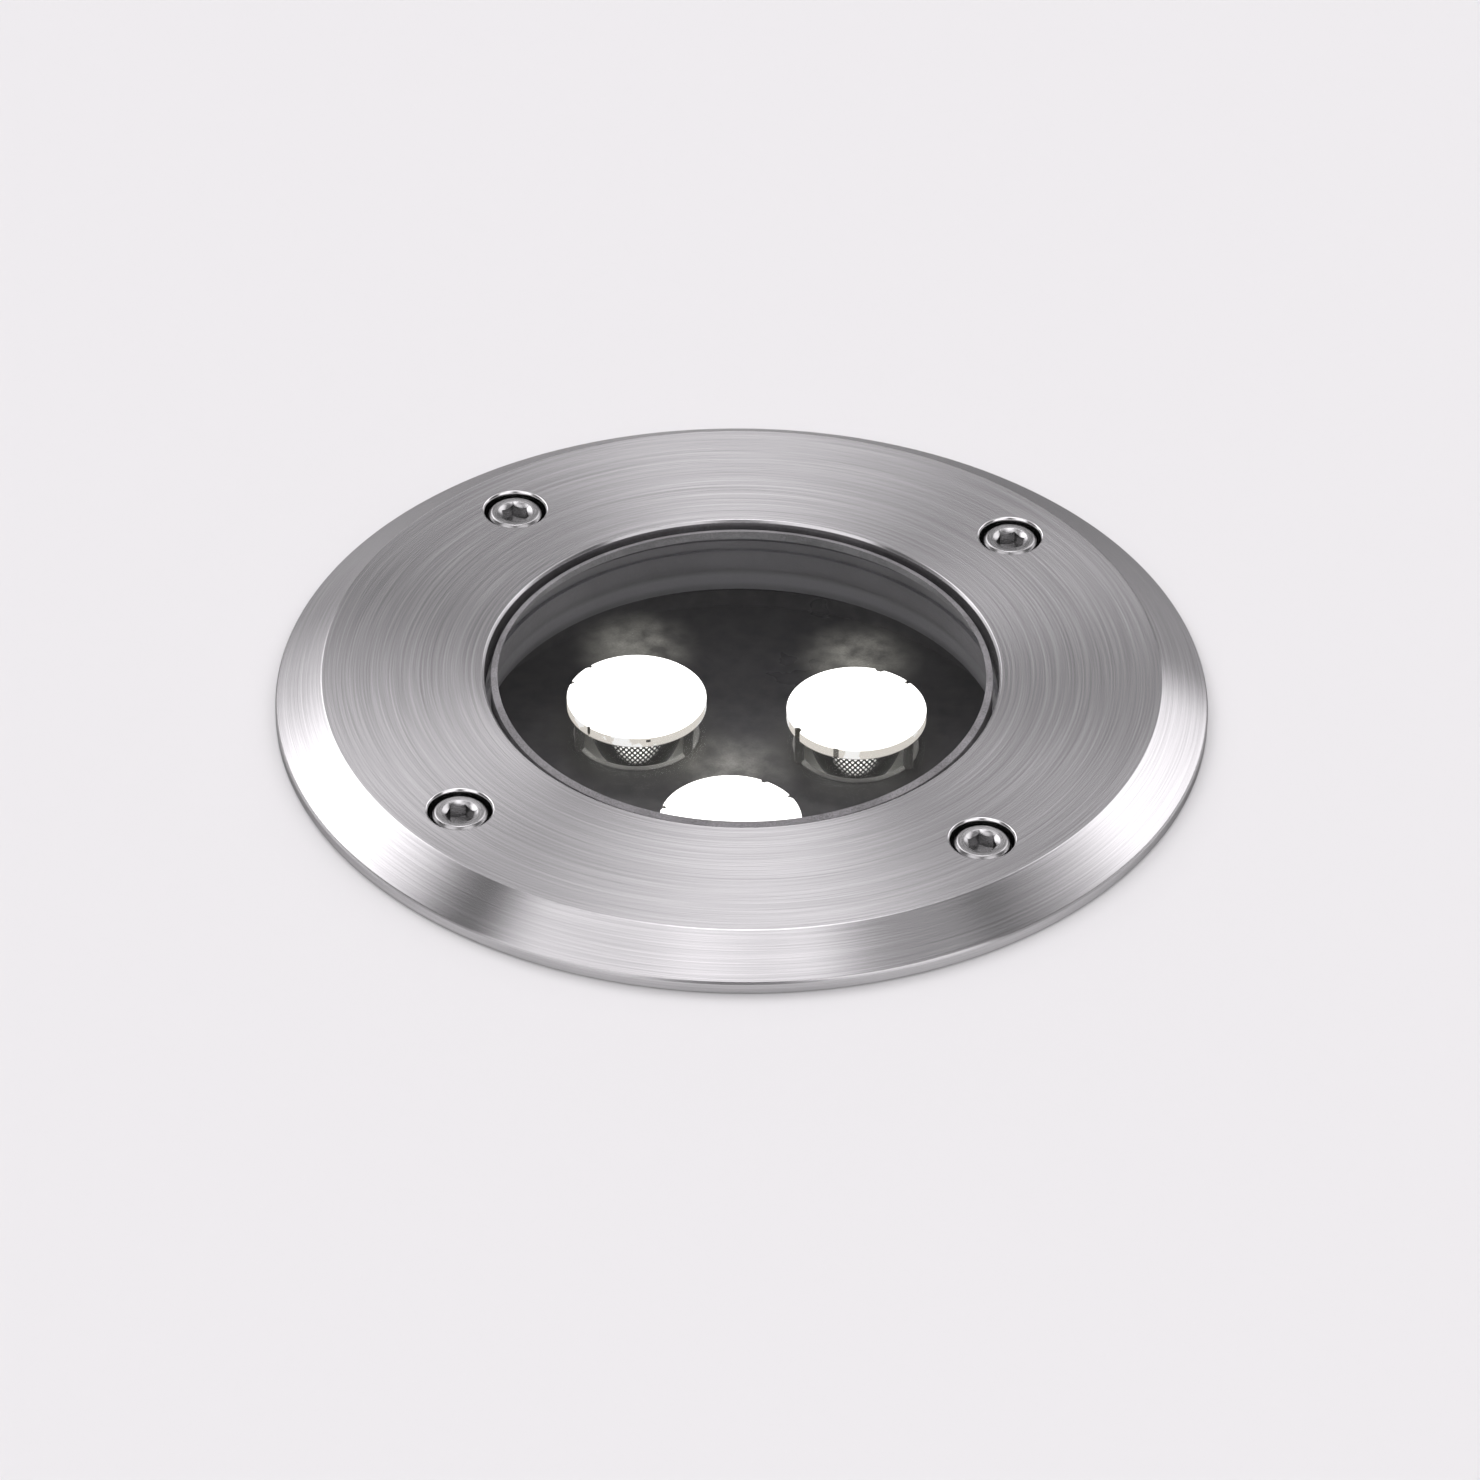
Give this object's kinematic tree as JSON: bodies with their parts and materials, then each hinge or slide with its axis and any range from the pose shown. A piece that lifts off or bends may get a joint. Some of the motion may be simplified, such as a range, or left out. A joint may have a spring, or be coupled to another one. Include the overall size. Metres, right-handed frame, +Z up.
{
  "type": "recessed underwater light",
  "caption": "Round recessed underwater floor light with a bevelled steel bezel, clamped glass, lensed emitters, ribbed body and cable gland.",
  "frame": {"origin": "on the light's axis, level with the floor that the bezel's rim rests on", "axes": "+Z up out of the floor along the light's axis, +X and +Y midway between the screws"},
  "size_m": [0.145, 0.145, 0.1122],
  "materials": {
    "steel": "turned and brushed in rings",
    "screw_steel": "satin, machined",
    "spring_steel": "dark spring steel",
    "glass": "clear, with a ground edge",
    "rubber": "matt",
    "silicone": "soft grey silicone",
    "washer": "matt",
    "body": "cast aluminium with a fine grey powder coat, lighter inside",
    "aluminium": "turned",
    "brass": "turned",
    "black_plastic": "fine moulded grain",
    "board_white": "white solder mask",
    "board_green": "green solder mask",
    "pad": "soft silicone",
    "lens": "clear moulded optic, lit from behind",
    "emitter": "clear dome over a phosphor",
    "lead_red": "smooth insulation",
    "lead_black": "smooth insulation",
    "sleeve_blue": "shrunk sleeve",
    "copper": "enamelled copper wire",
    "chip": "moulded epoxy",
    "terminal_green": "moulded",
    "nickel": "nickel plate",
    "claw": "natural nylon"
  },
  "bodies": {
    "housing": {"upper_gasket": "silicone", "lower_gasket": "silicone", "housing": "body", "thread_inserts": "brass", "optics_plate": "black_plastic", "plate_screws": "steel", "emitter_board": "board_white", "thermal_pad": "pad", "heat_spreader": "aluminium", "keeper_ring": "spring_steel", "lead_grommet": "rubber", "lead_red": "lead_red", "lead_black": "lead_black", "driver_board": "board_green", "driver_posts": "brass", "driver_screws": "steel", "capacitors": "sleeve_blue", "choke": "copper", "driver_chips": "chip", "terminal_block": "terminal_green", "terminal_screws": "steel", "rear_cover": "body", "cover_seal": "rubber", "cover_screws": "steel", "gland_body": "nickel", "gland_seal": "rubber", "gland_locknut": "nickel", "gland_insert": "rubber", "lens_1": "lens", "emitter_1": "emitter", "lens_2": "lens", "emitter_2": "emitter", "lens_3": "lens", "emitter_3": "emitter", "glass": "glass"},
    "bezel": {"bezel": "steel"},
    "washer_1": {"washer_1": "washer"},
    "screw_1": {"screw_1": "screw_steel"},
    "washer_2": {"washer_2": "washer"},
    "screw_2": {"screw_2": "screw_steel"},
    "washer_3": {"washer_3": "washer"},
    "screw_3": {"screw_3": "screw_steel"},
    "washer_4": {"washer_4": "washer"},
    "screw_4": {"screw_4": "screw_steel"},
    "gland_claw": {"gland_claw": "claw"},
    "gland_nut": {"gland_nut": "nickel"}
  },
  "joints": [
    {"name": "bezel_lift", "type": "slide", "parent": "housing", "child": "bezel", "axis": [0, 0, 1], "range_m": [0, 0.03]},
    {"name": "screw_1_rise", "type": "slide", "parent": "bezel", "child": "washer_1", "axis": [0, 0, 1], "range_m": [0, 0.008]},
    {"name": "screw_1_turn", "type": "hinge", "parent": "washer_1", "child": "screw_1", "pos_m": [0.0396, 0.0396, 0.0011], "axis": [0, 0, 1], "range_deg": [0, 3600]},
    {"name": "screw_2_rise", "type": "slide", "parent": "bezel", "child": "washer_2", "axis": [0, 0, 1], "range_m": [0, 0.008]},
    {"name": "screw_2_turn", "type": "hinge", "parent": "washer_2", "child": "screw_2", "pos_m": [-0.0396, 0.0396, 0.0011], "axis": [0, 0, 1], "range_deg": [0, 3600]},
    {"name": "screw_3_rise", "type": "slide", "parent": "bezel", "child": "washer_3", "axis": [0, 0, 1], "range_m": [0, 0.008]},
    {"name": "screw_3_turn", "type": "hinge", "parent": "washer_3", "child": "screw_3", "pos_m": [-0.0396, -0.0396, 0.0011], "axis": [0, 0, 1], "range_deg": [0, 3600]},
    {"name": "screw_4_rise", "type": "slide", "parent": "bezel", "child": "washer_4", "axis": [0, 0, 1], "range_m": [0, 0.008]},
    {"name": "screw_4_turn", "type": "hinge", "parent": "washer_4", "child": "screw_4", "pos_m": [0.0396, -0.0396, 0.0011], "axis": [0, 0, 1], "range_deg": [0, 3600]},
    {"name": "gland_claw_slide", "type": "slide", "parent": "housing", "child": "gland_claw", "axis": [0, 0, -1], "range_m": [0, 0.009]},
    {"name": "gland_nut_turn", "type": "hinge", "parent": "gland_claw", "child": "gland_nut", "pos_m": [0, 0, -0.1], "axis": [0, 0, -1], "range_deg": [0, 2160]}
  ],
  "couplings": [
    {"joint": "screw_1_turn", "follows": "screw_1_rise", "rad_per_m": 7853.9},
    {"joint": "screw_2_turn", "follows": "screw_2_rise", "rad_per_m": 7853.9},
    {"joint": "screw_3_turn", "follows": "screw_3_rise", "rad_per_m": 7853.9},
    {"joint": "screw_4_turn", "follows": "screw_4_rise", "rad_per_m": 7853.9},
    {"joint": "gland_claw_slide", "follows": "gland_nut_turn", "m_per_rad": 0.00023873}
  ]
}
